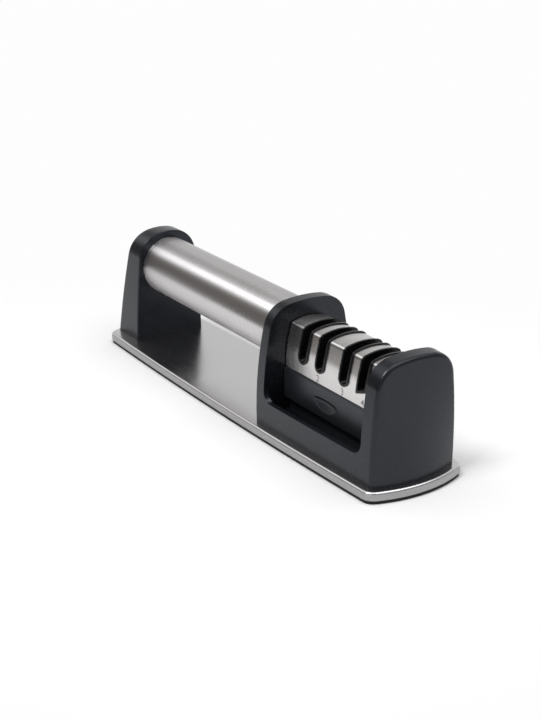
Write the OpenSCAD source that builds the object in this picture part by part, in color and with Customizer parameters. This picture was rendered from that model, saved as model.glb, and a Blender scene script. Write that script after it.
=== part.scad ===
// Bench knife sharpener: a steel tray on a rubber pad, a tube handle between
// two black posts, and a moulded head that holds a lift-out cartridge with
// four slots. +X is the sharpening end, the numbered side faces -Y, and the
// origin is at the middle of the pad's underside. Sizes are in millimetres.

/* [Base] */
// Length of the steel tray
plate_l = 235.5; // [225:0.5:245]
// Width of the steel tray at its middle
plate_w = 56; // [54:0.5:60]
// How far the long sides bow out
side_bow = 2.4; // [1.5:0.1:3]
// How far the two ends bow out
end_bow = 7; // [5:0.1:8]
// Radius of the tray's corners in plan
corner_r = 6; // [5:0.1:8]
// Thickness of the steel sheet
sheet_t = 0.8; // [0.6:0.05:1]
// Height of the folded rim, over the pad's edge
rim_h = 3.8; // [3.2:0.05:4.4]
// Radius of the fold along the rim's top
fold_r = 1.3; // [1:0.05:1.6]
// Thickness of the pad's visible edge
pad_edge_h = 1.65; // [1.4:0.05:2]
// How far the pad's edge sits inside the rim
pad_inset = 0.4; // [0.2:0.05:0.8]

/* [Handle] */
// Outer diameter of the tube
tube_d = 29.5; // [28:0.1:31]
// Wall of the tube
tube_wall = 1; // [0.8:0.05:1.5]
// Height of the tube's axis over the floor
tube_z = 43.8; // [42:0.1:45]
// Length of the spigots that the tube slips over
spigot_l = 7; // [5:0.5:9]
// Diameter of the tie screw inside the tube
tie_d = 5; // [4:0.1:6]

/* [Rear post] */
// How far the foot of the rear post's sides stands inside the tray's end
rear_margin = 4.85; // [4:0.05:6]
// Thickness of the rear post at the foot of its sides
rear_t = 20.6; // [19:0.1:22]
// How far the rear post's outer face leans in towards the top
rear_lean = 9.6; // [7:0.1:11]
// How far the rear post's outer face bulges at its foot
rear_bulge = 2.6; // [1.5:0.1:3.2]
// Half width of the rear post near its foot
rear_half_w = 20.1; // [19:0.1:21]
// Height of the rear post over the floor
rear_top_z = 62; // [60.5:0.1:64]
// Radius of the rear post's shoulders
rear_shoulder_r = 13.5; // [12:0.1:15]

/* [Head housing] */
// How far the foot of the end post's sides stands inside the tray's end
end_margin = 8.05; // [7.5:0.05:9]
// Thickness of the middle post
mid_t = 6; // [5.5:0.1:7]
// Space between the middle post and the end post
bay_l = 69.2; // [68:0.1:72]
// Thickness of the end post at the foot of its sides
end_t = 7.3; // [6.8:0.1:8]
// How far the end post's face bulges at its foot
end_bulge = 4.4; // [3:0.1:4.8]
// How far the housing's sides stand inside the tray's
head_margin = 3.4; // [3:0.1:4.5]
// Height of the middle post over the floor
mid_top_z = 62.1; // [61:0.1:64]
// Height of the end post over the floor
end_top_z = 59.3; // [58:0.1:60.5]
// Radius of the middle post's shoulders
mid_shoulder_r = 12.5; // [11:0.1:14]
// Radius of the end post's shoulders
end_shoulder_r = 11.6; // [10.5:0.1:13]
// Height of the low front and back walls
crest_z = 17.7; // [17.2:0.1:19]
// Thickness of the low walls at the crest
wall_t = 2.6; // [2.2:0.1:3]
// Radius where the walls run up into the posts
bay_corner_r = 5.5; // [4:0.1:7]
// Floor of the bay under the cartridge and beside it
bay_floor_z = 8; // [7.5:0.1:9]

/* [Cartridge] */
// Clearance between the cartridge and the posts
bay_gap = 0.4; // [0.3:0.05:0.6]
// Depth of the black body from front to back
body_w = 26.4; // [26:0.1:27.5]
// Underside of the body's visible face
body_low_z = 17.8; // [17:0.1:18.4]
// Lower edge of the steel cover
cover_low_z = 32.4; // [32:0.1:33.5]
// Width of the cover at its lower edge
cover_low_w = 24.6; // [24:0.1:25]
// Height over which the cover's faces lean in
cover_crease_z = 40.7; // [39.5:0.1:42]
// How far the faces lean in over the crease
cover_lean = 13; // [11:0.5:14]
// Radius of the soft crease
cover_crease_r = 40; // [20:1:50]
// Height of the cover's crown
cover_top_z = 54.2; // [53.5:0.1:55.5]
// How much higher the crown is than the bends
cover_crown = 1.5; // [1:0.1:2]
// Outside radius of the cover's bends
cover_bend_r = 2.4; // [2:0.1:3]
// Thickness of the cover's sheet
cover_t = 0.6; // [0.5:0.05:0.8]

/* [Slots] */
// Distance between the slots of a pair
slot_pitch = 12.5; // [12.2:0.1:13]
// Distance between the two middle slots
middle_pitch = 17.1; // [16:0.1:18]
// Clear width of a slot
slot_w = 4.8; // [4.5:0.05:5.2]
// Wall of the slot liners
liner_wall = 0.8; // [0.7:0.05:1.3]
// How far the liners' lips overlap the cover
lip_lap = 0.25; // [0.2:0.05:0.5]
// How far the liners' lips stand proud of the cover
lip_h = 0.6; // [0.5:0.05:0.9]
// Bottom of the three round slots
slot_floor_z = 38.4; // [38:0.1:39.5]
// Bottom of the last slot at its middle
notch_floor_z = 39.7; // [39:0.1:40]
// Slope of the last slot's bottom
notch_tilt = 18.5; // [15:0.5:20]

/* [Abrasives] */
// Diameter of the sharpening rods
rod_d = 3; // [2.8:0.1:3.1]
// Tilt of each rod or plate from upright
hone_angle = 20; // [17:0.5:21]
// Height where a pair crosses
cross_z = 36; // [35.5:0.1:36.5]
// How far a pair reaches over its crossing
hone_up = 9.5; // [8.5:0.1:9.8]
// How far a pair reaches under its crossing
hone_down = 10; // [8:0.1:10.4]
// Gap between the two rods or plates of a pair
hone_gap = 0.4; // [0.3:0.05:0.6]
// Width of a carbide plate
plate_hone_w = 3.2; // [2.8:0.1:3.3]
// Thickness of a carbide plate
plate_hone_t = 1.6; // [1.2:0.1:2]

/* [Fasteners] */
// Diameter of the base screws
base_screw_d = 3.5; // [3:0.1:3.8]
// Length of the base screws under the head
base_screw_l = 9; // [7:0.5:11]
// Diameter of the cartridge screws
small_screw_d = 2.5; // [2.2:0.1:2.8]
// Length of the cartridge screws under the head
small_screw_l = 9; // [7:0.5:11]

/* [Hidden] */
$fn = 72;
far = 200;             // longer than any cut has to be
fit = 0.05;            // clearance of a pin or screw in its bore, and of nested parts
seat_gap = 0.3;        // clearance where the cartridge drops into its seat

black = [0.13, 0.135, 0.145];
steel = [0.74, 0.73, 0.72];

plate_top = pad_edge_h + rim_h;
plate_under = plate_top - sheet_t;
rear_in_x = rear_margin + rear_t - plate_l / 2;
head_x1 = plate_l / 2 - end_margin;
bay_x1 = head_x1 - end_t;
bay_x0 = bay_x1 - bay_l;
head_x0 = bay_x0 - mid_t;
cart_x0 = bay_x0 + bay_gap;
cart_x1 = bay_x1 - bay_gap;
cart_mid = (bay_x0 + bay_x1) / 2;
slot_x = [cart_mid - middle_pitch / 2 - slot_pitch, cart_mid - middle_pitch / 2,
          cart_mid + middle_pitch / 2, cart_mid + middle_pitch / 2 + slot_pitch];
liner_w = slot_w + 2 * liner_wall;
lip_w = liner_w + 2 * lip_lap;

// Cartridge levels and depths that follow from the sizes above
base_t = 2;                             // thickness of the cartridge's bottom plate
base_z0 = bay_floor_z + seat_gap;
base_z1 = base_z0 + base_t;
plug_y = body_w / 2 - 3.2;              // half depth of the part between the two ribs
rib_t = 1.8;
rib_top_z = bay_floor_z + 3;
cavity_y = plug_y - 1.8;
cavity_top_z = cross_z - 2;
carrier_top_z = cavity_top_z - 0.6;
end_wall = 2.2;
boss_r = small_screw_d / 2 + 1.35;
boss_x = [cart_x0 + end_wall + boss_r - 0.4, cart_x1 - end_wall - boss_r + 0.4];
boss_y = cavity_y - boss_r - 0.2;
pocket_half_x = hone_up * tan(hone_angle) + rod_d / 2 / cos(hone_angle) + 0.25;
pocket_half_y = 4.2;
carrier_x0 = slot_x[0] - pocket_half_x - 0.1;
carrier_x1 = slot_x[3] + pocket_half_x + 0.1;

// Screws
base_head_d = base_screw_d + 3.4;
base_head_h = 1.9;
small_head_d = small_screw_d + 2;
small_head_h = 1.4;
tie_head_d = tie_d + 4.4;
tie_head_h = 2.9;
tie_tip_x = rear_in_x - 8.6;
rear_screw_x = rear_in_x - 8.8;
rear_screw_y = 9;
head_screw_x = [head_x0 + mid_t / 2, bay_x1 + end_t / 2];
head_screw_y = 14;

// Arc of n steps as a list of points
function arc_points(c, r, a0, a1, n) = [for (i = [0:n]) let (a = a0 + (a1 - a0) * i / n) c + r * [cos(a), sin(a)]];
function reverse(p) = [for (i = [len(p) - 1:-1:0]) p[i]];
function heading(v) = atan2(v[1], v[0]);

// Centre of the circle that rounds the outer corner between circles a and b
function blend_centre(ca, ra, cb, rb, r) =
    let (p = ra - r, q = rb - r, d = norm(cb - ca), along = (p * p - q * q + d * d) / (2 * d),
         across = sqrt(p * p - along * along), e = (cb - ca) / d, n = [e[1], -e[0]],
         first = ca + along * e + across * n, second = ca + along * e - across * n)
    first[0] + first[1] > second[0] + second[1] ? first : second;

// Outline of the tray, drawn in by inset: bowed sides, bowed ends, round corners
function tray_outline(inset) =
    let (a = plate_l / 2, b = plate_w / 2,
         rs = (a * a + side_bow * side_bow) / (2 * side_bow), re = (b * b + end_bow * end_bow) / (2 * end_bow),
         cs = [0, b - rs], ce = [a - re, 0], c = blend_centre(cs, rs, ce, re, corner_r),
         at_side = heading(c - cs), at_end = heading(c - ce),
         q = concat(arc_points(ce, re - inset, 0, at_end, 9),
                    arc_points(c, corner_r - inset, at_end + 2, at_side - 2, 6),
                    arc_points(cs, rs - inset, at_side, 90, 9)),
         n = len(q))
    concat([for (i = [0:n - 2]) q[i]], [for (i = [n - 1:-1:1]) [-q[i][0], q[i][1]]],
           [for (i = [0:n - 2]) -q[i]], [for (i = [n - 1:-1:1]) [q[i][0], -q[i][1]]]);

// Half width of the tray at x
function tray_half(x) = let (a = plate_l / 2, rs = (a * a + side_bow * side_bow) / (2 * side_bow))
    plate_w / 2 - rs + sqrt(rs * rs - x * x);

// Arch seen along X as [y, z] points: bellied sides, round shoulders, crowned top
function arch(half_w, belly_r, belly_z, top_z, crown_r, round_r, inset) =
    let (cs = [half_w - belly_r, belly_z], ct = [0, top_z - crown_r],
         c = blend_centre(cs, belly_r, ct, crown_r, round_r),
         foot = asin((plate_top - belly_z) / (belly_r - inset)),
         at_side = heading(c - cs), at_top = heading(c - ct),
         half = concat(arc_points(cs, belly_r - inset, foot, at_side, 7),
                       arc_points(c, round_r - inset, at_side + 5, at_top - 4, 8),
                       arc_points(ct, crown_r - inset, at_top, 90, 6)),
         n = len(half), foot_y = half[0][0], steps = 12)
    concat(half, [for (i = [n - 2:-1:0]) [-half[i][0], half[i][1]]],
           [for (i = [1:steps - 1]) [foot_y * (2 * i / steps - 1), half[0][1]]]);

// Solid through a stack of rings, each a list of as many [x, y, z] points, closed
// by the two flat end rings or by fans to two tips
module skin(rings, tips = []) {
    n = len(rings[0]);
    m = len(rings);
    last = (m - 1) * n;
    sides = [for (j = [0:m - 2], i = [0:n - 1]) let (a = j * n + i, b = j * n + (i + 1) % n)
             each [[a, a + n, b + n], [a, b + n, b]]];
    flat_caps = [[for (i = [0:n - 1]) i], [for (i = [n - 1:-1:0]) last + i]];
    fans = [for (i = [0:n - 1]) let (k = (i + 1) % n) each [[m * n, i, k], [m * n + 1, last + k, last + i]]];
    polyhedron(concat([for (r = rings) each r], tips), concat(sides, len(tips) == 2 ? fans : flat_caps),
               convexity = 6);
}

// How far a post's outer face bulges at height z and offset y
function bulge(y, z, amount, half_w, top_z) =
    amount * max(0, 1 - pow(y / half_w, 2)) * max(0, (top_z - z) / (top_z - plate_top));
shrink = [0.85, 0.66, 0.44, 0.22];      // rings that close an outer face
fillet_steps = [0, 22, 45, 68, 90];

// Front view of a slot cut as [x, z], with a round bottom
module round_slot(w, floor_z) {
    translate([0, floor_z + w / 2]) circle(w / 2);
    translate([-w / 2, floor_z + w / 2]) square([w, far]);
}
// The last slot has small corners and a bottom that slopes up towards the end post
module notch_slot(w, floor_z) {
    corner = 0.5;
    rise = tan(notch_tilt);
    a = w / 2;
    b = a - corner;
    polygon([[-a, far], [-a, floor_z - rise * b + corner], [-b, floor_z - rise * b],
             [b, floor_z + rise * b], [a, floor_z + rise * b + corner], [a, far]]);
}
// Cut for slot i, whose bottom lies lower than the clear slot's by the given depth
module slot_cut(i, w, under) {
    translate([slot_x[i], far / 2, 0]) rotate([90, 0, 0]) linear_extrude(far)
        if (i == 3) notch_slot(w, notch_floor_z - under);
        else round_slot(w, slot_floor_z - under);
}

// End view of the cover as [y, z], drawn in by inset: an upright band, a soft crease,
// a leaning face, a bend and the crown
function cover_section(inset, low_z) =
    let (yl = cover_low_w / 2, zb = cover_top_z - cover_crown,
         yt = yl - (zb - cover_crease_z) * tan(cover_lean),
         rc = (yt * yt + cover_crown * cover_crown) / (2 * cover_crown),
         face = [cos(cover_lean), sin(cover_lean)], crown = [0, cover_top_z - rc],
         crease = [yl - cover_crease_r, cover_crease_z - cover_crease_r * tan(cover_lean / 2)],
         // the bend is tangent to the leaning face and to the crown
         k = yl * face[0] + cover_crease_z * face[1] - cover_bend_r,
         c = bend_centre(crown, rc - cover_bend_r, face, k),
         at_crown = heading(c - crown),
         half = concat([[yl - inset, low_z]], arc_points(crease, cover_crease_r - inset, 0, cover_lean, 6),
                       arc_points(c, cover_bend_r - inset, cover_lean, at_crown, 7),
                       arc_points(crown, rc - inset, at_crown + 3, 90, 9)),
         n = len(half))
    concat(half, [for (i = [n - 2:-1:0]) [-half[i][0], half[i][1]]]);
// Point on the line through face * k that lies at distance r from the crown's centre
function bend_centre(crown, r, face, k) =
    let (off = k - (crown[0] * face[0] + crown[1] * face[1]), up = sqrt(r * r - off * off))
    crown + off * face + up * [-face[1], face[0]];

// Extrude [y, z] points along X from x0 to x1
module along_x(x0, x1) {
    translate([x0, 0, 0]) rotate([90, 0, 90]) linear_extrude(x1 - x0) children();
}

// Rods and plates stand in the slots at these four places
module at_hone(i, side) {
    translate([slot_x[i], side * (rod_d + hone_gap) / 2, cross_z]) rotate([0, side * hone_angle, 0]) children();
}
hone_l = (hone_up + hone_down) / cos(hone_angle);
hone_start = -hone_down / cos(hone_angle);

module base_plate() {
    steps = [0, 18, 36, 54, 72, 90];
    rings = concat([[for (p = tray_outline(0)) [p[0], p[1], pad_edge_h]]],
                   [for (a = steps) [for (p = tray_outline(fold_r * (1 - cos(a))))
                                     [p[0], p[1], plate_top - fold_r * (1 - sin(a))]]]);
    color(steel) difference() {
        skin(rings);
        translate([0, 0, -1]) linear_extrude(plate_under + 1) polygon(tray_outline(sheet_t));
        base_screw_places() cylinder(h = far, r = base_screw_d / 2 + 0.2);
    }
}

module base_screw_places() {
    for (y = [-rear_screw_y, rear_screw_y]) translate([rear_screw_x, y, 0]) children();
    for (x = head_screw_x, y = [-head_screw_y, head_screw_y]) translate([x, y, 0]) children();
}

module base_pad() {
    color([0.1, 0.1, 0.1]) difference() {
        union() {
            linear_extrude(pad_edge_h) polygon(tray_outline(pad_inset));
            linear_extrude(plate_under) polygon(tray_outline(sheet_t + 0.15));
        }
        base_screw_places() translate([0, 0, plate_under - base_head_h - 0.2])
            cylinder(h = far, r = base_head_d / 2 + 0.3);
    }
}

// Pan head screw pointing up, its head's top face at the origin
module screw(d, l, head_d, head_h) {
    recess_r = head_d * 0.28;
    difference() {
        rotate_extrude() polygon([[0, -head_h], [head_d * 0.36, -head_h], [head_d / 2, -head_h * 0.45],
                                  [head_d / 2, 0], [d / 2, 0], [d / 2, l - d * 0.3], [d * 0.25, l], [0, l]]);
        translate([0, 0, -head_h - 1]) for (a = [0, 90]) rotate([0, 0, a])
            translate([-recess_r, -recess_r * 0.2, 0]) cube([2 * recess_r, recess_r * 0.4, 1 + head_h * 0.55]);
    }
}

module base_screws() {
    color(steel) base_screw_places() translate([0, 0, plate_under])
        screw(base_screw_d, base_screw_l, base_head_d, base_head_h);
}

// Rear post: its outer face leans and bulges, its inner face is flat
module rear_post() {
    belly_r = 600;
    belly_z = -15;
    crown_r = 30;
    outer_r = 1.8;
    inner_r = 0.8;
    function outline(inset) =
        arch(rear_half_w, belly_r, belly_z, rear_top_z, crown_r, rear_shoulder_r, inset);
    function outer_x(y, z) = rear_in_x - rear_t + rear_lean * (z - plate_top) / (rear_top_z - plate_top)
        - bulge(y, z, rear_bulge, rear_half_w, rear_top_z);
    mid_z = (plate_top + rear_top_z) / 2;
    closing = [for (s = reverse(shrink)) [for (p = outline(outer_r)) let (y = p[0] * s, z = mid_z + (p[1] - mid_z) * s)
               [outer_x(y, z), y, z]]];
    rounding = [for (a = fillet_steps) [for (p = outline(outer_r * (1 - sin(a))))
                [outer_x(p[0], p[1]) + outer_r * (1 - cos(a)), p[0], p[1]]]];
    inner = [for (a = [0, 30, 60, 90]) [for (p = outline(inner_r * (1 - cos(a))))
             [rear_in_x - inner_r * (1 - sin(a)), p[0], p[1]]]];
    color(black) difference() {
        union() {
            skin(concat(closing, rounding, inner), [[outer_x(0, mid_z), 0, mid_z], [rear_in_x, 0, mid_z]]);
            translate([rear_in_x - 1, 0, tube_z]) rotate([0, 90, 0])
                cylinder(h = spigot_l + 1, r = tube_d / 2 - tube_wall - fit);
        }
        translate([tie_tip_x - 0.5, 0, tube_z]) rotate([0, 90, 0]) cylinder(h = far, r = tie_d / 2 + fit);
        for (y = [-rear_screw_y, rear_screw_y]) translate([rear_screw_x, y, 0])
            cylinder(h = plate_under + base_screw_l + 0.5, r = base_screw_d / 2 + fit);
    }
}

module handle_tube() {
    color(steel) translate([rear_in_x, 0, tube_z]) rotate([0, 90, 0]) difference() {
        cylinder(h = head_x0 - rear_in_x, r = tube_d / 2);
        translate([0, 0, -1]) cylinder(h = far, r = tube_d / 2 - tube_wall);
    }
}

module handle_tie_screw() {
    seat = bay_x0 - tie_head_h - 0.3;
    color(steel) translate([seat, 0, tube_z]) rotate([0, -90, 0])
        screw(tie_d, seat - tie_tip_x, tie_head_d, tie_head_h);
}

// Head housing: one moulding with the middle post, the low walls and the end post
module head_housing() {
    mid_belly_r = 180;
    end_belly_r = 280;
    belly_z = 13.75;
    crown_r = 70;
    outer_r = 1.8;
    inner_r = 0.8;
    function half_w(x) = tray_half(x) - head_margin;
    // a size that changes evenly from the middle post to the end post
    function along(x, first, last) = first + (last - first) * (x - head_x0) / (head_x1 - head_x0);
    function outline(x, inset) = arch(half_w(x), along(x, mid_belly_r, end_belly_r), belly_z,
        along(x, mid_top_z, end_top_z), crown_r, along(x, mid_shoulder_r, end_shoulder_r), inset);
    function end_x(y, z) = head_x1 + bulge(y, z, end_bulge, half_w(head_x1), end_top_z);
    mid_z = (plate_top + end_top_z) / 2;
    left = [for (a = [0, 30, 60, 90]) let (x = head_x0 + inner_r * (1 - cos(a)))
            [for (p = outline(x, inner_r * (1 - sin(a)))) [x, p[0], p[1]]]];
    middle = [for (x = [bay_x0, (3 * bay_x0 + bay_x1) / 4, cart_mid, (bay_x0 + 3 * bay_x1) / 4, bay_x1])
              [for (p = outline(x, 0)) [x, p[0], p[1]]]];
    rounding = [for (a = fillet_steps) [for (p = outline(head_x1, outer_r * (1 - cos(a))))
                [end_x(p[0], p[1]) - outer_r * (1 - sin(a)), p[0], p[1]]]];
    closing = [for (s = shrink) [for (p = outline(head_x1, outer_r)) let (y = p[0] * s, z = mid_z + (p[1] - mid_z) * s)
               [end_x(y, z), y, z]]];
    rib_y = plug_y + seat_gap;
    bay_edge = [for (i = [0:6]) let (x = bay_x0 + bay_l * i / 6) [x, half_w(x) - wall_t]];
    color(black) difference() {
        union() {
            skin(concat(left, middle, rounding, closing), [[head_x0, 0, mid_z], [end_x(0, mid_z), 0, mid_z]]);
            translate([head_x0 - spigot_l, 0, tube_z]) rotate([0, 90, 0])
                cylinder(h = spigot_l + 1, r = tube_d / 2 - tube_wall - fit);
        }
        // the bay between the posts, rounded where it meets them
        translate([0, far / 2, 0]) rotate([90, 0, 0]) linear_extrude(far) bay_outline();
        // the bay's floor, with two ribs that guide the cartridge
        difference() {
            translate([0, 0, bay_floor_z]) linear_extrude(far)
                polygon(concat(bay_edge, reverse([for (p = bay_edge) [p[0], -p[1]]])));
            for (y = [rib_y, -rib_y - rib_t]) translate([bay_x0 - 1, y, 0]) cube([bay_l + 2, rib_t, rib_top_z]);
        }
        // the tie screw's way through the middle post, and its head
        translate([head_x0 - spigot_l - 1, 0, tube_z]) rotate([0, 90, 0])
            cylinder(h = spigot_l + mid_t + 2, r = tie_d / 2 + 0.2);
        translate([bay_x0 - tie_head_h - 0.3, 0, tube_z]) rotate([0, 90, 0])
            cylinder(h = mid_t, r = tie_head_d / 2 + 0.3);
        for (x = head_screw_x, y = [-head_screw_y, head_screw_y]) translate([x, y, 0])
            cylinder(h = plate_under + base_screw_l + 0.3, r = base_screw_d / 2 + fit);
    }
}
module bay_outline() {
    for (x = [bay_x0 + bay_corner_r, bay_x1 - bay_corner_r]) translate([x, crest_z + bay_corner_r])
        circle(bay_corner_r);
    translate([bay_x0 + bay_corner_r, crest_z]) square([bay_l - 2 * bay_corner_r, far]);
    translate([bay_x0, crest_z + bay_corner_r]) square([bay_l, far]);
}

// Black body of the cartridge: ribs between the slots over a hollow block
module cartridge_body() {
    thumb_depth = 1.7;
    thumb_axis = 24;
    thumb_x = cart_mid - 3;
    thumb_low_z = 20.6;
    thumb_deep_z = 25;
    thumb_top_z = 27;
    color(black) difference() {
        union() {
            along_x(cart_x0, cart_x1) polygon([[-plug_y, base_z1], [plug_y, base_z1], [plug_y, body_low_z],
                [body_w / 2, body_low_z], [body_w / 2, cover_low_z - 0.7], [body_w / 2 - 0.5, cover_low_z - 0.2],
                [-body_w / 2 + 0.5, cover_low_z - 0.2], [-body_w / 2, cover_low_z - 0.7],
                [-body_w / 2, body_low_z], [-plug_y, body_low_z]]);
            along_x(cart_x0, cart_x1) polygon(cover_section(cover_t + fit, cover_low_z - 0.5));
        }
        difference() {
            translate([cart_x0 + end_wall, -cavity_y, base_z1 - 1])
                cube([cart_x1 - cart_x0 - 2 * end_wall, 2 * cavity_y, cavity_top_z - base_z1 + 1]);
            for (x = boss_x, y = [-boss_y, boss_y]) translate([x, y, base_z1]) cylinder(h = far, r = boss_r);
        }
        for (i = [0:3]) slot_cut(i, liner_w + 2 * fit, liner_wall + fit);
        for (x = slot_x) translate([x - pocket_half_x, -pocket_half_y, cavity_top_z - 1])
            cube([2 * pocket_half_x, 2 * pocket_half_y, cross_z + hone_up + 0.6 - cavity_top_z + 1]);
        for (x = boss_x, y = [-boss_y, boss_y]) translate([x, y, 0])
            cylinder(h = base_z0 + small_head_h + small_screw_l + 0.5, r = small_screw_d / 2 + fit);
        // thumb recesses: deep under their upper edge, running out below
        for (s = [-1, 1]) translate([thumb_x, s * (body_w / 2 + thumb_axis), 0]) rotate_extrude($fn = 180)
            polygon([[0, thumb_low_z], [thumb_axis, thumb_low_z],
                     [thumb_axis + thumb_depth * 0.5, thumb_deep_z - (thumb_deep_z - thumb_low_z) * 0.55],
                     [thumb_axis + thumb_depth, thumb_deep_z],
                     [thumb_axis + thumb_depth * 0.8, (thumb_deep_z + thumb_top_z) / 2],
                     [thumb_axis + thumb_depth * 0.4, thumb_top_z - 0.3],
                     [thumb_axis, thumb_top_z], [0, thumb_top_z]]);
    }
}

// Steel cover, bent over the body and cut through for the four slots
module cartridge_cover() {
    color(steel) difference() {
        along_x(cart_x0 + 0.2, cart_x1 - 0.2) difference() {
            polygon(cover_section(0, cover_low_z));
            polygon(cover_section(cover_t, cover_low_z - 1));
        }
        for (i = [0:3]) slot_cut(i, liner_w + 2 * fit, liner_wall + fit);
    }
}

// Liner of one slot: a channel whose lip laps over the cover's cut edge
module slot_liner(i) {
    x0 = slot_x[i] - lip_w;
    x1 = slot_x[i] + lip_w;
    color(black) difference() {
        union() {
            intersection() {
                along_x(x0, x1) polygon(cover_section(-lip_h, cavity_top_z));
                slot_cut(i, liner_w, liner_wall);
            }
            intersection() {
                along_x(x0, x1) difference() {
                    polygon(cover_section(-lip_h, cavity_top_z));
                    polygon(cover_section(-fit / 2, cavity_top_z - 1));
                }
                slot_cut(i, lip_w, liner_wall + lip_lap);
            }
        }
        slot_cut(i, slot_w, 0);
        translate([slot_x[i] - liner_w, -pocket_half_y, cavity_top_z])
            cube([2 * liner_w, 2 * pocket_half_y, cross_z + hone_up + 0.6 - cavity_top_z]);
    }
}
module slot_liner_1() { slot_liner(0); }
module slot_liner_2() { slot_liner(1); }
module slot_liner_3() { slot_liner(2); }
module slot_liner_4() { slot_liner(3); }

// Block that holds the lower ends of the rods and plates
module hone_carrier() {
    rib = 2;
    color([0.2, 0.2, 0.21]) difference() {
        translate([carrier_x0, -cavity_y + 0.3, base_z1])
            cube([carrier_x1 - carrier_x0, 2 * cavity_y - 0.6, carrier_top_z - base_z1]);
        for (i = [0:2], side = [-1, 1])
            at_hone(i, side) translate([0, 0, hone_start - 0.2]) cylinder(h = hone_l, r = rod_d / 2 + fit);
        for (side = [-1, 1]) at_hone(3, side)
            translate([-plate_hone_w / 2 - fit, -plate_hone_t / 2 - fit, hone_start - 0.2])
                cube([plate_hone_w + 2 * fit, plate_hone_t + 2 * fit, hone_l]);
        // moulding pockets in front of and behind the rods
        for (x = slot_x, s = [-1, 1]) translate([x, s * (cavity_y - 0.3), base_z1 + rib])
            translate([-pocket_half_x + rib, s > 0 ? -3.4 : -1, 0])
                cube([2 * (pocket_half_x - rib), 4.4, far]);
    }
}

module hone_rod(i, side, tint) {
    color(tint) at_hone(i, side) translate([0, 0, hone_start]) rotate_extrude()
        polygon([[0, 0], [rod_d / 2 - 0.3, 0], [rod_d / 2, 0.3], [rod_d / 2, hone_l - 0.3],
                 [rod_d / 2 - 0.3, hone_l], [0, hone_l]]);
}
module coarse_rod_front() { hone_rod(0, -1, [0.5, 0.5, 0.52]); }
module coarse_rod_back() { hone_rod(0, 1, [0.5, 0.5, 0.52]); }
module fine_rod_front() { hone_rod(1, -1, [0.6, 0.6, 0.62]); }
module fine_rod_back() { hone_rod(1, 1, [0.6, 0.6, 0.62]); }
module ceramic_rod_front() { hone_rod(2, -1, [0.92, 0.91, 0.88]); }
module ceramic_rod_back() { hone_rod(2, 1, [0.92, 0.91, 0.88]); }

module carbide_plate(side) {
    color([0.35, 0.35, 0.37]) at_hone(3, side)
        translate([-plate_hone_w / 2, -plate_hone_t / 2, hone_start])
            cube([plate_hone_w, plate_hone_t, hone_l]);
}
module carbide_plate_front() { carbide_plate(-1); }
module carbide_plate_back() { carbide_plate(1); }

// Plate that closes the cartridge from below
module cartridge_base() {
    color(black) difference() {
        translate([cart_x0 + 0.2, -plug_y, base_z0]) cube([cart_x1 - cart_x0 - 0.4, 2 * plug_y, base_t]);
        for (x = boss_x, y = [-boss_y, boss_y]) translate([x, y, base_z0 - 1]) {
            cylinder(h = far, r = small_screw_d / 2 + 0.1);
            cylinder(h = 1 + small_head_h + 0.05, r = small_head_d / 2 + 0.1);
        }
    }
}

module cartridge_screws() {
    color(steel) for (x = boss_x, y = [-boss_y, boss_y]) translate([x, y, base_z0 + small_head_h + 0.05])
        screw(small_screw_d, small_screw_l, small_head_d, small_head_h);
}

base_plate();
base_pad();
base_screws();
rear_post();
handle_tube();
handle_tie_screw();
head_housing();
cartridge_body();
cartridge_cover();
cartridge_base();
cartridge_screws();
slot_liner_1();
slot_liner_2();
slot_liner_3();
slot_liner_4();
hone_carrier();
coarse_rod_front();
coarse_rod_back();
fine_rod_front();
fine_rod_back();
ceramic_rod_front();
ceramic_rod_back();
carbide_plate_front();
carbide_plate_back();
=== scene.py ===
import math

import bmesh
import bpy
from mathutils import Matrix, Vector


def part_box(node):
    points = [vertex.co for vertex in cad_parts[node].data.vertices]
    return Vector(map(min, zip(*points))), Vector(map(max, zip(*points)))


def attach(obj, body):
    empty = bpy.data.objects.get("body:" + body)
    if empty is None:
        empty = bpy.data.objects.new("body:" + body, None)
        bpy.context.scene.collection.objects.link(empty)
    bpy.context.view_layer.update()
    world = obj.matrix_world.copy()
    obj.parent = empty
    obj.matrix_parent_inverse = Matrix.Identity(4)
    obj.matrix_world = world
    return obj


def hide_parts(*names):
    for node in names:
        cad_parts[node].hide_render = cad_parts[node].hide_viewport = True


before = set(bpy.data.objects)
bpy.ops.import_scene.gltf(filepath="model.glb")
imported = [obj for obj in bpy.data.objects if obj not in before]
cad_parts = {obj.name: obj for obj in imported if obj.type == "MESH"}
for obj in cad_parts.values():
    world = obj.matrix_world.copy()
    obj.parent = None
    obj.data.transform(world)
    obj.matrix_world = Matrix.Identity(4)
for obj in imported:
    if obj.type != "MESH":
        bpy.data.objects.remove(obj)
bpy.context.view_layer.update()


# --- The camera -------------------------------------------------------------------
# A short telephoto looks down on the sharpening end from the front right,
# as the photograph does.
MM = 0.001
camera_heading = math.radians(55.93)
camera_height_angle = math.radians(22.14)
camera_distance = 649.06 * MM
camera_target = Vector((2.6, 0, 21.83)) * MM
camera_back = Vector((math.sin(camera_heading) * math.cos(camera_height_angle),
                      -math.cos(camera_heading) * math.cos(camera_height_angle),
                      math.sin(camera_height_angle)))
camera_data = bpy.data.cameras.new("camera")
camera_data.lens = 68.32
camera_data.sensor_width = 36
camera_data.clip_start = 0.01
camera_data.clip_end = 50
camera = bpy.data.objects.new("camera", camera_data)
bpy.context.scene.collection.objects.link(camera)
camera.location = camera_target + camera_back * camera_distance
camera.rotation_mode = "QUATERNION"
camera.rotation_quaternion = camera_back.to_track_quat("Z", "Y")
bpy.context.scene.camera = camera
bpy.context.scene.view_settings.view_transform = "Standard"


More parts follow.
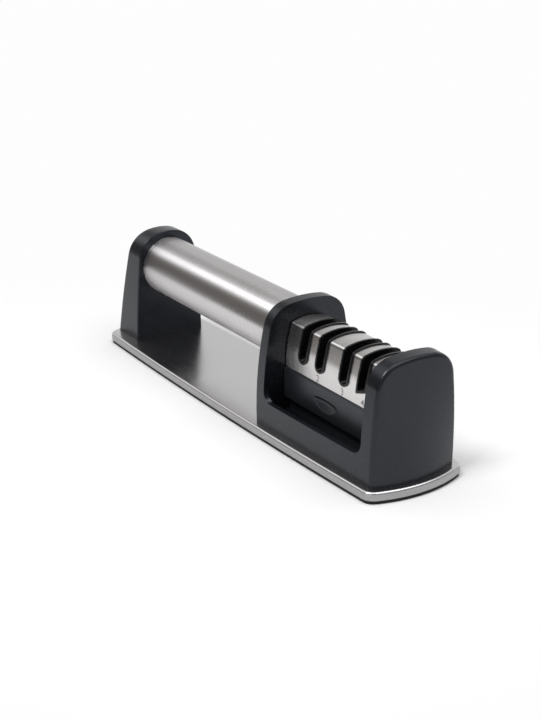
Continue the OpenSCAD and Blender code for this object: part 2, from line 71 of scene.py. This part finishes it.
# --- The table top and the studio light -------------------------------------------
# The white table top takes the object's shadow and is plain white further off. It
# ends just outside the picture, and the room in front of it is dim. One soft lamp
# hangs over the front and a wide one over the right back.
def new_material(name):
    made = bpy.data.materials.new(name)
    made.use_nodes = True
    made.node_tree.nodes.clear()
    return made


def add(tree, kind, inputs=None, **settings):
    """A new node. Inputs that are sockets are linked, all others are set."""
    node = tree.nodes.new(kind)
    for key, value in settings.items():
        setattr(node, key, value)
    for key, value in (inputs or {}).items():
        if isinstance(value, bpy.types.NodeSocket):
            tree.links.new(value, node.inputs[key])
        else:
            node.inputs[key].default_value = value
    return node


def add_math(tree, operation, *values):
    return add(tree, "ShaderNodeMath", dict(enumerate(values)), operation=operation).outputs[0]


def mix_colours(tree, share, first, second):
    return add(tree, "ShaderNodeMix", {0: share, 6: first, 7: second}, data_type="RGBA").outputs[2]


def sweep_material(paper_within, white_beyond, white_level):
    """Real paper near the object, which is seen as plain white further off."""
    made = new_material("white sweep")
    tree = made.node_tree
    paper = add(tree, "ShaderNodeBsdfDiffuse", {"Color": (0.9, 0.9, 0.902, 1)})
    white = add(tree, "ShaderNodeEmission", {"Color": (1, 1, 1, 1), "Strength": white_level})
    place = add(tree, "ShaderNodeTexCoord")
    far_off = add(tree, "ShaderNodeVectorMath", {0: place.outputs["Object"]}, operation="LENGTH")
    share = add(tree, "ShaderNodeMapRange", {"Value": far_off.outputs["Value"],
                                             "From Min": paper_within, "From Max": white_beyond},
                interpolation_type="SMOOTHSTEP")
    path = add(tree, "ShaderNodeLightPath")
    seen = add_math(tree, "MAXIMUM", path.outputs["Is Camera Ray"], path.outputs["Is Glossy Ray"])
    seen = add_math(tree, "MAXIMUM", seen, path.outputs["Is Transmission Ray"])
    blend = add_math(tree, "MULTIPLY", seen, share.outputs["Result"])
    mixed = add(tree, "ShaderNodeMixShader", {0: blend, 1: paper.outputs[0], 2: white.outputs[0]})
    add(tree, "ShaderNodeOutputMaterial", {"Surface": mixed.outputs[0]})
    return made


def new_object(name, mesh, material=None):
    made = bpy.data.objects.new(name, mesh)
    bpy.context.scene.collection.objects.link(made)
    if material is not None:
        made.data.materials.clear()
        made.data.materials.append(material)
    return made


sweep_half = 6.0
table_front = -0.26
table_drop = 0.00005
sweep_mesh = bpy.data.meshes.new("table top")
sweep_mesh.from_pydata([(-sweep_half, table_front, 0), (sweep_half, table_front, 0),
                        (sweep_half, sweep_half, 0), (-sweep_half, sweep_half, 0)],
                       [], [(0, 1, 2, 3)])
sweep = new_object("table_top", sweep_mesh,
                   sweep_material(paper_within=0.12, white_beyond=0.28, white_level=0.985))
sweep.location.z = -table_drop

world = bpy.data.worlds.new("studio")
bpy.context.scene.world = world
world.use_nodes = True
world_tree = world.node_tree
world_tree.nodes.clear()
direction = add(world_tree, "ShaderNodeTexCoord")
axes = add(world_tree, "ShaderNodeSeparateXYZ", {0: direction.outputs["Generated"]})
# Angle around the object's length: 0 is level behind it, 0.5 is straight up and 1 is
# level in front. A long soft strip hangs over the front.
turn = add_math(world_tree, "ARCTAN2", axes.outputs["Z"], axes.outputs["Y"])
turn = add_math(world_tree, "DIVIDE", add_math(world_tree, "ABSOLUTE", turn), math.pi)
strip = add(world_tree, "ShaderNodeValToRGB", {"Fac": turn})
strip_levels = ((0.0, 0.44), (0.10, 0.42), (0.21, 0.36), (0.31, 0.27), (0.40, 0.19),
                (0.475, 0.18), (0.535, 0.36), (0.60, 0.62), (0.68, 0.62), (0.74, 0.40),
                (0.79, 0.14), (0.86, 0.086), (0.96, 0.08))
ramp = strip.color_ramp
while len(ramp.elements) < len(strip_levels):
    ramp.elements.new(0.5)
for stop, (place, value) in zip(ramp.elements, strip_levels):
    stop.position = place
# The dim parts of the room are a little warmer than the bright ones
warmest, warm_below = 0.09, 0.3
for stop, (place, value) in zip(ramp.elements, strip_levels):
    warmth = warmest * max(0.0, 1 - value / warm_below)
    stop.color = (value * (1 + warmth), value, value * (1 - warmth), 1)
right_wall = (0.16, 0.16, 0.165, 1)
seen_room = (0.5, 0.5, 0.5, 1)
right_side = add(world_tree, "ShaderNodeMapRange", {"Value": axes.outputs["X"],
                                                    "From Min": -0.15, "From Max": 0.45},
                 interpolation_type="SMOOTHSTEP")
level = mix_colours(world_tree, right_side.outputs[0], strip.outputs[0], right_wall)
light_path = add(world_tree, "ShaderNodeLightPath")
level = mix_colours(world_tree, light_path.outputs["Is Camera Ray"], level, seen_room)
studio = add(world_tree, "ShaderNodeBackground", {"Color": level, "Strength": 2.0})
add(world_tree, "ShaderNodeOutputWorld", {"Surface": studio.outputs[0]})


def soft_lamp(name, place, aim, side, power):
    data = bpy.data.lights.new(name, "AREA")
    data.shape = "RECTANGLE"
    data.size = data.size_y = side
    data.energy = power
    made = bpy.data.objects.new(name, data)
    bpy.context.scene.collection.objects.link(made)
    made.location = place
    made.rotation_mode = "QUATERNION"
    made.rotation_quaternion = (Vector(place) - Vector(aim)).to_track_quat("Z", "Y")


soft_lamp("key lamp", place=(0.12, -0.62, 1.02), aim=(0, 0, 0.03), side=0.38, power=6.3)
soft_lamp("lamp above", place=(0.35, 0.3, 1.3), aim=(0, 0, 0), side=1.1, power=6.7)


# --- Rubber pad -------------------------------------------------------------------
# A black rubber mat closes the tray from below and keeps it from sliding.
# Moulded in one piece; only its thin edge shows under the steel rim.
def object_noise(tree, scale, stretch=(1, 1, 1), detail=3.0, roughness=0.5, place=None):
    if place is None:
        place = add(tree, "ShaderNodeTexCoord").outputs["Object"]
    stretched = add(tree, "ShaderNodeMapping", {"Vector": place, "Scale": stretch})
    return add(tree, "ShaderNodeTexNoise", {"Vector": stretched.outputs[0], "Scale": scale,
                                            "Detail": detail, "Roughness": roughness}).outputs[0]


def between(tree, value, low, high, from_low=0.3, from_high=0.7):
    """The value's usual range, a noise's middle, carried over to low and high."""
    return add(tree, "ShaderNodeMapRange", {"Value": value, "From Min": from_low, "To Min": low,
                                            "From Max": from_high, "To Max": high}).outputs[0]


def bump(tree, height, depth, strength=1.0):
    return add(tree, "ShaderNodeBump", {"Height": height, "Distance": depth,
                                        "Strength": strength}).outputs[0]


def tinted(tree, share, colour, darkest, lightest):
    """The colour times darkest where the share is 0, up to times lightest where it is 1."""
    dark, light = ((*[min(1, c * factor) for c in colour], 1) for factor in (darkest, lightest))
    return mix_colours(tree, share, dark, light)


def give_surface(tree, inputs):
    shader = add(tree, "ShaderNodeBsdfPrincipled", inputs)
    add(tree, "ShaderNodeOutputMaterial", {"Surface": shader.outputs[0]})


def moulded(name, colour, rough, grain=2600, depth=0.00001, spread=0.05, specular=0.5,
            specular_tint=(1, 1, 1)):
    """Moulded plastic or rubber: a fine spark-eroded grain with faint flow marks."""
    flow_scale, flow_stretch, flow_shine = 38, (1, 1.6, 1.6), 0.02
    made = new_material(name)
    tree = made.node_tree
    flow = object_noise(tree, flow_scale, flow_stretch, detail=4)
    fine = object_noise(tree, grain, detail=2)
    shine = add_math(tree, "ADD", between(tree, fine, rough - spread, rough + spread),
                     between(tree, flow, -flow_shine, flow_shine))
    give_surface(tree, {
        "Base Color": tinted(tree, between(tree, flow, 0, 1), colour, darkest=0.88, lightest=1.16),
        "Roughness": shine, "Specular IOR Level": specular, "Specular Tint": (*specular_tint, 1),
        "Normal": bump(tree, fine, depth)})
    return made


def merged_copy(name, node, material, edge=0.0, segments=3, corner=40):
    """A copy of a solid's mesh, merged, with eased corners and smooth shading."""
    weld, flat_within = 0.002 * MM, math.radians(0.04)
    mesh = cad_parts[node].data.copy()
    mesh.name = name
    form = bmesh.new()
    form.from_mesh(mesh)
    bmesh.ops.remove_doubles(form, verts=form.verts, dist=weld)
    bmesh.ops.dissolve_limit(form, angle_limit=flat_within, verts=form.verts, edges=form.edges)
    form.to_mesh(mesh)
    form.free()
    mesh.polygons.foreach_set("use_smooth", [True] * len(mesh.polygons))
    mesh.set_sharp_from_angle(angle=math.radians(corner))
    made = new_object(name, mesh, material)
    if edge:
        ease = made.modifiers.new("eased corners", "BEVEL")
        ease.width = edge
        ease.segments = segments
        ease.limit_method = "ANGLE"
        ease.angle_limit = math.radians(corner)
        ease.use_clamp_overlap = True
        ease.miter_outer = "MITER_ARC"
    flat = made.modifiers.new("flat faces stay flat", "WEIGHTED_NORMAL")
    flat.keep_sharp = True
    flat.weight = 60
    return made


rubber = moulded("black rubber", (0.010, 0.010, 0.011), 0.72, grain=1500, depth=0.00003,
                 specular=0.35)
pad = merged_copy("rubber_pad", "base_pad", rubber, edge=0.25 * MM)
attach(pad, "base")
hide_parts("base_pad")


# --- Steel tray -------------------------------------------------------------------
# Stainless sheet pressed into a shallow tray with bowed sides and ends.
# Its rim is folded down over the pad; the top is brushed along its length.
def brushed(name, colour, rough, along, fineness=9000, spread=0.04, contrast=0.05,
            anisotropy=0.6, across=0.0, relief=0.5, bow=None, rough_and_painted_shade_side=None):
    """Brushed stainless steel: marks drawn out along the given axes scatter light across them.
    They may follow sides that bow out by a share of the width. A folded side may be rougher, and
    its colour is darkened there as painted shade."""
    drawn_out, mark_depth = 0.012, 0.000003
    broad_scale, fine_share, broad_share = 0.18, 0.7, 0.3
    cloud_scale, cloud_shine = 24, 0.02
    usual_low, usual_high = 0.35, 0.65
    made = new_material(name)
    tree = made.node_tree
    stretch = [drawn_out if axis in along else 1.0 for axis in range(3)]
    place = add(tree, "ShaderNodeTexCoord").outputs["Object"]
    axes = add(tree, "ShaderNodeSeparateXYZ", {0: place})
    if bow:
        half_length, share = bow
        run = add_math(tree, "DIVIDE", axes.outputs["X"], half_length)
        lost = add_math(tree, "MULTIPLY", add_math(tree, "MULTIPLY", run, run), share)
        width = add_math(tree, "SUBTRACT", 1.0, lost)
        straight = add_math(tree, "DIVIDE", axes.outputs["Y"], width)
        place = add(tree, "ShaderNodeCombineXYZ", {0: axes.outputs["X"], 1: straight,
                                                   2: axes.outputs["Z"]}).outputs[0]
    marks = object_noise(tree, fineness, stretch, 3, 0.6, place)
    broad = object_noise(tree, fineness * broad_scale, stretch, 2, 0.5, place)
    cloud = object_noise(tree, cloud_scale)
    both = add_math(tree, "ADD", add_math(tree, "MULTIPLY", marks, fine_share),
                    add_math(tree, "MULTIPLY", broad, broad_share))
    base_colour = tinted(tree, between(tree, both, 0, 1, usual_low, usual_high), colour,
                         1 - contrast, 1 + contrast)
    rough_here = rough
    # On the folded side the colour is scaled down as painted shade, standing in for the dim floor
    # the rim reflects. The roughness rises there too.
    if rough_and_painted_shade_side:
        fold_low, fold_high, share, dull_rough = rough_and_painted_shade_side
        painted_shade_share = between(tree, axes.outputs["Z"], share, 1.0, fold_low, fold_high)
        base_colour = add(tree, "ShaderNodeVectorMath", {0: base_colour, "Scale": painted_shade_share},
                          operation="SCALE").outputs[0]
        rough_here = between(tree, axes.outputs["Z"], dull_rough, rough, fold_low, fold_high)
    shine = add_math(tree, "ADD", between(tree, both, -spread, spread, usual_low, usual_high),
                     between(tree, cloud, -cloud_shine, cloud_shine))
    shine = add_math(tree, "ADD", shine, rough_here)
    around = add(tree, "ShaderNodeTangent", direction_type="RADIAL", axis="X")
    give_surface(tree, {
        "Base Color": base_colour, "Metallic": 1.0, "Roughness": shine, "Anisotropic": anisotropy,
        "Anisotropic Rotation": across, "Tangent": around.outputs[0],
        "Normal": bump(tree, both, mark_depth, relief)})
    return made


tray_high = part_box("base_plate")[1]
side_bow = 2.4 * MM
fold_radius = 1.3 * MM
# The folded rim's colour is darkened to this share as painted shade, and the rim is rougher.
fold_painted_shade_level, fold_rough = 0.58, 0.4
plate_steel = brushed("steel brushed lengthwise", (0.7, 0.69, 0.695), 0.22, along=(0,),
                      fineness=4200, contrast=0.025, relief=0.2,
                      bow=(tray_high.x, side_bow / tray_high.y),
                      rough_and_painted_shade_side=(tray_high.z - fold_radius, tray_high.z - 0.2 * fold_radius,
                                 fold_painted_shade_level, fold_rough))
tray = merged_copy("steel_tray", "base_plate", plate_steel, edge=0.12 * MM, segments=2)
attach(tray, "base")
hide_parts("base_plate")


# --- Base screws ------------------------------------------------------------------
# Six zinc-plated screws go up through the tray into the posts.
# Their heads are covered by the pad.
def plated(name, colour, rough):
    cloud_scale, cloud_depth = 420, 0.00001
    made = new_material(name)
    tree = made.node_tree
    cloud = object_noise(tree, cloud_scale, detail=4)
    give_surface(tree, {
        "Base Color": tinted(tree, between(tree, cloud, 0, 1), colour, darkest=0.85, lightest=1.12),
        "Metallic": 1.0, "Roughness": between(tree, cloud, rough - 0.06, rough + 0.08),
        "Normal": bump(tree, cloud, cloud_depth, 0.5)})
    return made


zinc = plated("zinc-plated steel", (0.42, 0.42, 0.43), 0.34)


def screw_tree():
    """Self-tapping pan head screws with a cross recess, one pointing up from each given place."""
    core_sides, head_sides = 28, 40
    # shares of the core's radius
    tip_length_share, tip_base_share, tip_end_share = 1.4, 0.92, 0.3
    # shares of the head's height
    overlap_share, rim_share, crown_share = 0.1, 0.45, 0.55
    # shares of the head's radius
    crown_base_share, crown_top_share, recess_share = 0.98, 0.72, 1.12
    # shares of the recess's length and of the crown's height
    bar_width_share, bar_height_share = 0.2, 1.8

    tree = bpy.data.node_groups.new("pan head screws", "GeometryNodeTree")
    face = tree.interface
    face.new_socket("Screws", in_out="OUTPUT", socket_type="NodeSocketGeometry")
    face.new_socket("Places", in_out="INPUT", socket_type="NodeSocketGeometry")
    for name in ("Shank radius", "Shank length", "Head radius", "Head height", "Thread depth",
                 "Thread length", "Thread turns"):
        face.new_socket(name, in_out="INPUT", socket_type="NodeSocketFloat")
    face.new_socket("Steel", in_out="INPUT", socket_type="NodeSocketMaterial")
    given = tree.nodes.new("NodeGroupInput").outputs

    def plus(a, b):
        return add_math(tree, "ADD", a, b)

    def times(a, b):
        return add_math(tree, "MULTIPLY", a, b)

    def minus(a, b):
        return add_math(tree, "SUBTRACT", a, b)

    def moved(geometry, z, turned=(0, 0, 0)):
        place = add(tree, "ShaderNodeCombineXYZ", {2: z}).outputs[0]
        return add(tree, "GeometryNodeTransform", {"Geometry": geometry, "Translation": place,
                                                   "Rotation": turned}).outputs[0]

    core_radius = minus(given["Shank radius"], given["Thread depth"])
    tip_length = times(core_radius, tip_length_share)
    core_length = minus(given["Shank length"], tip_length)
    overlap = times(given["Head height"], overlap_share)
    core = add(tree, "GeometryNodeMeshCylinder", {
        "Vertices": core_sides, "Radius": core_radius, "Depth": plus(core_length, overlap)})
    core = moved(core.outputs["Mesh"], times(minus(core_length, overlap), 0.5))
    tip = add(tree, "GeometryNodeMeshCone", {
        "Vertices": core_sides, "Radius Bottom": times(core_radius, tip_base_share),
        "Radius Top": times(core_radius, tip_end_share), "Depth": plus(tip_length, overlap)})
    tip = moved(tip.outputs["Mesh"], minus(core_length, overlap))
    helix = add(tree, "GeometryNodeCurveSpiral", {
        "Resolution": 20, "Rotations": given["Thread turns"], "Start Radius": core_radius,
        "End Radius": core_radius, "Height": given["Thread length"]})
    ridge = add(tree, "GeometryNodeCurvePrimitiveCircle", {"Resolution": 4,
                                                           "Radius": given["Thread depth"]})
    thread = add(tree, "GeometryNodeCurveToMesh", {
        "Curve": helix.outputs[0], "Profile Curve": ridge.outputs[0], "Fill Caps": True})
    thread = moved(thread.outputs[0], minus(core_length, given["Thread length"]))

    rim_height = times(given["Head height"], rim_share)
    crown_height = times(given["Head height"], crown_share)
    rim = add(tree, "GeometryNodeMeshCylinder", {
        "Vertices": head_sides, "Radius": given["Head radius"], "Depth": rim_height})
    rim = moved(rim.outputs["Mesh"], times(rim_height, -0.5))
    crown = add(tree, "GeometryNodeMeshCone", {
        "Vertices": head_sides, "Radius Bottom": times(given["Head radius"], crown_base_share),
        "Radius Top": times(given["Head radius"], crown_top_share),
        "Depth": plus(crown_height, overlap)})
    crown = moved(crown.outputs["Mesh"], minus(overlap, rim_height), (math.pi, 0, 0))
    recess_length = times(given["Head radius"], recess_share)
    bar_size = add(tree, "ShaderNodeCombineXYZ", {
        0: recess_length, 1: times(recess_length, bar_width_share),
        2: times(crown_height, bar_height_share)})
    bar = add(tree, "GeometryNodeMeshCube", {"Size": bar_size.outputs[0]}).outputs["Mesh"]
    bar_depth = times(given["Head height"], -1.0)
    blank = add(tree, "GeometryNodeMeshBoolean", operation="UNION")
    for part in (core, tip, rim, crown):
        tree.links.new(part, blank.inputs["Mesh 2"])
    recessed = add(tree, "GeometryNodeMeshBoolean", {"Mesh 1": blank.outputs["Mesh"]},
                   operation="DIFFERENCE")
    # one bar of the cross goes a little deeper, so that no two faces of them lie in one plane
    for depth, turned in ((bar_depth, 0), (minus(bar_depth, times(overlap, 0.5)), math.pi / 2)):
        tree.links.new(moved(bar, depth, (0, 0, turned)), recessed.inputs["Mesh 2"])

    one = add(tree, "GeometryNodeJoinGeometry")
    for part in (thread, recessed.outputs["Mesh"]):
        tree.links.new(part, one.inputs[0])
    spread = add(tree, "GeometryNodeInstanceOnPoints", {"Points": given["Places"],
                                                        "Instance": one.outputs[0]})
    real = add(tree, "GeometryNodeRealizeInstances", {"Geometry": spread.outputs[0]})
    steel = add(tree, "GeometryNodeSetMaterial", {"Geometry": real.outputs[0],
                                                  "Material": given["Steel"]})
    out = tree.nodes.new("NodeGroupOutput")
    tree.links.new(steel.outputs[0], out.inputs[0])
    return tree


def grown(name, tree, values, places=()):
    """The plain mesh that a Geometry Nodes tree makes from named inputs and points at places."""
    points = bpy.data.meshes.new(name + "_places")
    points.from_pydata(places, [], [])
    holder = new_object(name + "_maker", points)
    grower = holder.modifiers.new("grow", "NODES")
    grower.node_group = tree
    sockets = {s.name: s.identifier for s in tree.interface.items_tree if s.in_out == "INPUT"}
    for key, value in values.items():
        grower[sockets[key]] = value
    ready = holder.evaluated_get(bpy.context.evaluated_depsgraph_get())
    mesh = bpy.data.meshes.new_from_object(ready)
    bpy.data.objects.remove(holder)
    mesh.name = name
    return mesh


screws = screw_tree()


def screw_set(name, node, body, places, shank_radius, length, head_radius, head_height,
              thread_length, turns, turned=None):
    thread_depth = 0.16 * shank_radius
    mesh = grown(name, screws, {
        "Shank radius": shank_radius, "Shank length": length, "Head radius": head_radius,
        "Head height": head_height, "Thread depth": thread_depth, "Thread length": thread_length,
        "Thread turns": turns, "Steel": zinc}, places)
    if turned is not None:
        mesh.transform(turned)
    mesh.polygons.foreach_set("use_smooth", [True] * len(mesh.polygons))
    mesh.set_sharp_from_angle(angle=math.radians(35))
    made = new_object(name, mesh, zinc)
    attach(made, body)
    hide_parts(node)


base_low, base_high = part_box("base_screws")
base_head_radius = 3.45 * MM
base_head_height = 1.9 * MM
base_seat = base_low.z + base_head_height
rear_row = base_low.x + base_head_radius
middle_row = 30.2 * MM
end_row = base_high.x - base_head_radius
rear_row_half = 9 * MM
head_row_half = base_high.y - base_head_radius
base_places = [(x, side * half, base_seat)
               for x, half in ((rear_row, rear_row_half), (middle_row, head_row_half),
                               (end_row, head_row_half))
               for side in (-1, 1)]
screw_set("base_screw_set", "base_screws", "base", base_places, shank_radius=1.75 * MM,
          length=base_high.z - base_seat, head_radius=base_head_radius,
          head_height=base_head_height, thread_length=6.1 * MM, turns=6.5)


# --- Rear post --------------------------------------------------------------------
# One satin black moulding with a leaning, bellied outer face.
# Its spigot holds the tube; the tie screw pulls both ends together.
satin_black = moulded("satin black plastic", (0.0066, 0.0072, 0.0092), 0.28, depth=0.0000035,
                      spread=0.03, specular=0.44, specular_tint=(0.86, 0.9, 1.0))
post = merged_copy("rear_post_moulding", "rear_post", satin_black, edge=0.2 * MM, segments=2)
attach(post, "base")
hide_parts("rear_post")


# --- Grip tube --------------------------------------------------------------------
# Thin-walled stainless tube, brushed around, with its cut ends broken.
# It slips over a spigot on each post and is held by the tie screw.
tube_low, tube_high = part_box("handle_tube")
tube_length = tube_high.x - tube_low.x
tube_radius = (tube_high.z - tube_low.z) / 2
tube_centre = (tube_low + tube_high) / 2
tube_wall = 1.0 * MM
broken_edge = 0.25 * MM
tube_steel = brushed("steel brushed around", (0.62, 0.605, 0.61), 0.29, along=(1, 2),
                     fineness=7000, across=0.25, spread=0.02, contrast=0.04, anisotropy=1.0,
                     relief=0.25)


def grip_tube_tree():
    """A wall section with broken edges, carried round a circle."""
    tree = bpy.data.node_groups.new("grip tube", "GeometryNodeTree")
    face = tree.interface
    face.new_socket("Geometry", in_out="OUTPUT", socket_type="NodeSocketGeometry")
    for name in ("Length", "Radius", "Wall", "Broken edge"):
        face.new_socket(name, in_out="INPUT", socket_type="NodeSocketFloat")
    face.new_socket("Steel", in_out="INPUT", socket_type="NodeSocketMaterial")
    given = tree.nodes.new("NodeGroupInput").outputs
    half_wall = add_math(tree, "MULTIPLY", given["Wall"], 0.5)
    middle = add_math(tree, "SUBTRACT", given["Radius"], half_wall)
    ring = add(tree, "GeometryNodeCurvePrimitiveCircle", {"Resolution": 160, "Radius": middle})
    section = add(tree, "GeometryNodeCurvePrimitiveQuadrilateral", {"Width": given["Wall"],
                                                                    "Height": given["Length"]})
    broken = add(tree, "GeometryNodeFilletCurve", {
        "Curve": section.outputs[0], "Count": 4, "Radius": given["Broken edge"]}, mode="POLY")
    swept = add(tree, "GeometryNodeCurveToMesh", {"Curve": ring.outputs[0],
                                                  "Profile Curve": broken.outputs[0]})
    smooth = add(tree, "GeometryNodeSetShadeSmooth", {"Geometry": swept.outputs[0]})
    real = add(tree, "GeometryNodeRealizeInstances", {"Geometry": smooth.outputs[0]})
    steel = add(tree, "GeometryNodeSetMaterial", {"Geometry": real.outputs[0],
                                                  "Material": given["Steel"]})
    out = tree.nodes.new("NodeGroupOutput")
    tree.links.new(steel.outputs[0], out.inputs[0])
    return tree


tube_mesh = grown("grip tube", grip_tube_tree(), {
    "Length": tube_length, "Radius": tube_radius, "Wall": tube_wall, "Broken edge": broken_edge,
    "Steel": tube_steel})
tube_mesh.transform(Matrix.Translation(tube_centre) @ Matrix.Rotation(math.radians(90), 4, "Y"))
form = bmesh.new()
form.from_mesh(tube_mesh)
bmesh.ops.remove_doubles(form, verts=form.verts, dist=0.001 * MM)
bmesh.ops.recalc_face_normals(form, faces=form.faces)
form.to_mesh(tube_mesh)
form.free()
tube_mesh.set_sharp_from_angle(angle=math.radians(50))
tube = new_object("grip_tube", tube_mesh, tube_steel)
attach(tube, "base")
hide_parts("handle_tube")


# --- Tie screw --------------------------------------------------------------------
# A long zinc-plated screw inside the tube. Its head sits in the middle post, and it
# is driven into the rear post, so that it clamps the tube between the two.
tie_low, tie_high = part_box("handle_tie_screw")
tie_head_height = 2.9 * MM
tie_seat = tie_high.x - tie_head_height
screw_set("tie_screw", "handle_tie_screw", "base", [(0, 0, 0)], shank_radius=2.5 * MM,
          length=tie_seat - tie_low.x, head_radius=(tie_high.z - tie_low.z) / 2,
          head_height=tie_head_height, thread_length=25 * MM, turns=13.5,
          turned=(Matrix.Translation((tie_seat, 0, tube_centre.z))
                  @ Matrix.Rotation(math.radians(-90), 4, "Y")))


# --- Head housing -----------------------------------------------------------------
# One satin black moulding: the middle post, the low walls and the end post.
# Screwed to the tray from below; the cartridge drops into its bay.
housing = merged_copy("head_housing_moulding", "head_housing", satin_black, edge=0.55 * MM,
                      segments=4)
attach(housing, "base")
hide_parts("head_housing")


# --- Cartridge inside -------------------------------------------------------------
# A grey moulded block holds three crossed pairs of rods and one of plates.
# The rods are diamond-coated steel or solid ceramic, the plates carbide.
# The block is hidden, so it keeps its CAD shape and gets its real finish.
carrier_grey = moulded("grey moulded plastic", (0.035, 0.035, 0.038), 0.5)
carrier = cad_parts["hone_carrier"]
carrier.data.materials.clear()
carrier.data.materials.append(carrier_grey)


def gritty(name, colour, rough, grain, metal):
    grit_depth, grit_shine = 0.00004, 0.1
    made = new_material(name)
    tree = made.node_tree
    grit = object_noise(tree, grain, detail=2)
    give_surface(tree, {
        "Base Color": tinted(tree, between(tree, grit, 0, 1, 0.4, 0.6), colour,
                             darkest=0.6, lightest=1.3),
        "Metallic": metal,
        "Roughness": between(tree, grit, rough - grit_shine, rough + grit_shine),
        "Normal": bump(tree, grit, grit_depth)})
    return made


coarse = gritty("coarse diamond", (0.22, 0.22, 0.23), 0.5, grain=5200, metal=0.8)
fine = gritty("fine diamond", (0.3, 0.3, 0.31), 0.42, grain=9000, metal=0.8)
ceramic = moulded("white ceramic", (0.78, 0.77, 0.74), 0.34, grain=3000, depth=0.000004)
carbide = brushed("ground carbide", (0.2, 0.2, 0.21), 0.3, along=(1,), fineness=3000)
hones = (("coarse_rod", coarse, "coarse_diamond"), ("fine_rod", fine, "fine_diamond"),
         ("ceramic_rod", ceramic, "ceramic"), ("carbide_plate", carbide, "carbide"))
for side in ("front", "back"):
    for kind, material, slot_name in hones:
        source = f"{kind}_{side}"
        piece = merged_copy(f"{source}_piece", source, material, edge=0.1 * MM, segments=2)
        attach(piece, "cartridge")
        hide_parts(source)


# --- Cartridge body ---------------------------------------------------------------
# A black moulding with a thumb recess in its front and back.
# Ribs between the slots carry the cover; a plate with four screws closes it below.
# This black is lighter than the housing's as painted light, so the body's front face below the
# cover looks lit. The floor plate shares it.
cartridge_black_painted_lighter = moulded("cartridge plastic painted lighter", (0.015, 0.016, 0.019), 0.32, depth=0.0000035,
                          spread=0.03, specular=0.5, specular_tint=(0.86, 0.9, 1.0))
body = merged_copy("cartridge_body_moulding", "cartridge_body", cartridge_black_painted_lighter,
                   edge=0.18 * MM, segments=2)
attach(body, "cartridge")
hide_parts("cartridge_body")
floor_plate = merged_copy("cartridge_floor_plate", "cartridge_base", cartridge_black_painted_lighter,
                          edge=0.3 * MM, segments=2)
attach(floor_plate, "cartridge")
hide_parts("cartridge_base")


# --- Cartridge screws -------------------------------------------------------------
# Four small zinc-plated screws hold the floor plate to the bosses of the body.
# Their heads sink into the plate from below.
small_low, small_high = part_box("cartridge_screws")
small_head_radius = 2.25 * MM
small_head_height = 1.4 * MM
small_seat = small_low.z + small_head_height
small_places = [(x, y, small_seat)
                for x in (small_low.x + small_head_radius, small_high.x - small_head_radius)
                for y in (small_low.y + small_head_radius, small_high.y - small_head_radius)]
screw_set("cartridge_screw_set", "cartridge_screws", "cartridge", small_places,
          shank_radius=1.25 * MM, length=small_high.z - small_seat,
          head_radius=small_head_radius, head_height=small_head_height,
          thread_length=6.6 * MM, turns=7.5)


# --- Cartridge cover --------------------------------------------------------------
# Stainless sheet, cut for the four slots and bent over the body.
# Brushed from front to back, with a plain number etched under each slot.
cover_steel = brushed("cover steel", (0.65, 0.635, 0.63), 0.24, along=(1, 2), fineness=5000,
                      across=0.25, spread=0.02, contrast=0.045, anisotropy=0.9, relief=0.12)
cover = merged_copy("cartridge_cover_sheet", "cartridge_cover", cover_steel, edge=0.1 * MM,
                    segments=2)
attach(cover, "cartridge")
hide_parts("cartridge_cover")

cover_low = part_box("cartridge_cover")[0]
number_height = 3.3 * MM
capital_share = 0.72
number_rise = 0.6 * MM
number_thickness = 0.01 * MM
stroke_gain = 0.06 * MM
# How far each number stands to the right of its slot's middle
number_shifts = (-1.2, -1.4, -0.8, 0.9)
etched = moulded("etched grey", (0.27, 0.27, 0.27), 0.55, grain=4000, depth=0.000003)
for number, shift in enumerate(number_shifts, start=1):
    slot_low, slot_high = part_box(f"slot_liner_{number}")
    centre = (slot_low.x + slot_high.x) / 2
    words = bpy.data.curves.new(f"number {number}", "FONT")
    words.body = str(number)
    words.size = number_height / capital_share
    words.align_x = "CENTER"
    words.resolution_u = 8
    words.extrude = number_thickness
    words.offset = stroke_gain
    holder = bpy.data.objects.new(f"number {number}", words)
    bpy.context.scene.collection.objects.link(holder)
    ready = holder.evaluated_get(bpy.context.evaluated_depsgraph_get())
    mesh = bpy.data.meshes.new_from_object(ready)
    bpy.data.objects.remove(holder)
    mesh.transform(Matrix.Translation((centre + shift * MM, cover_low.y - number_thickness,
                                       cover_low.z + number_rise))
                   @ Matrix.Rotation(math.radians(90), 4, "X"))
    piece = new_object(f"etched_number_{number}", mesh, etched)
    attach(piece, "cartridge")


# --- Slot liners ------------------------------------------------------------------
# Four glossy black liners guide the blade and cover the cut steel edges. Their lips
# lap over the cover; three have round bottoms and the last a flat, sloping one.
liner_black = moulded("liner plastic", (0.0045, 0.0045, 0.0055), 0.26, spread=0.04, specular=0.3)
for number in range(1, 5):
    liner = merged_copy(f"slot_liner_{number}_moulding", f"slot_liner_{number}", liner_black,
                        edge=0.22 * MM, segments=3)
    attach(liner, "cartridge")
    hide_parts(f"slot_liner_{number}")
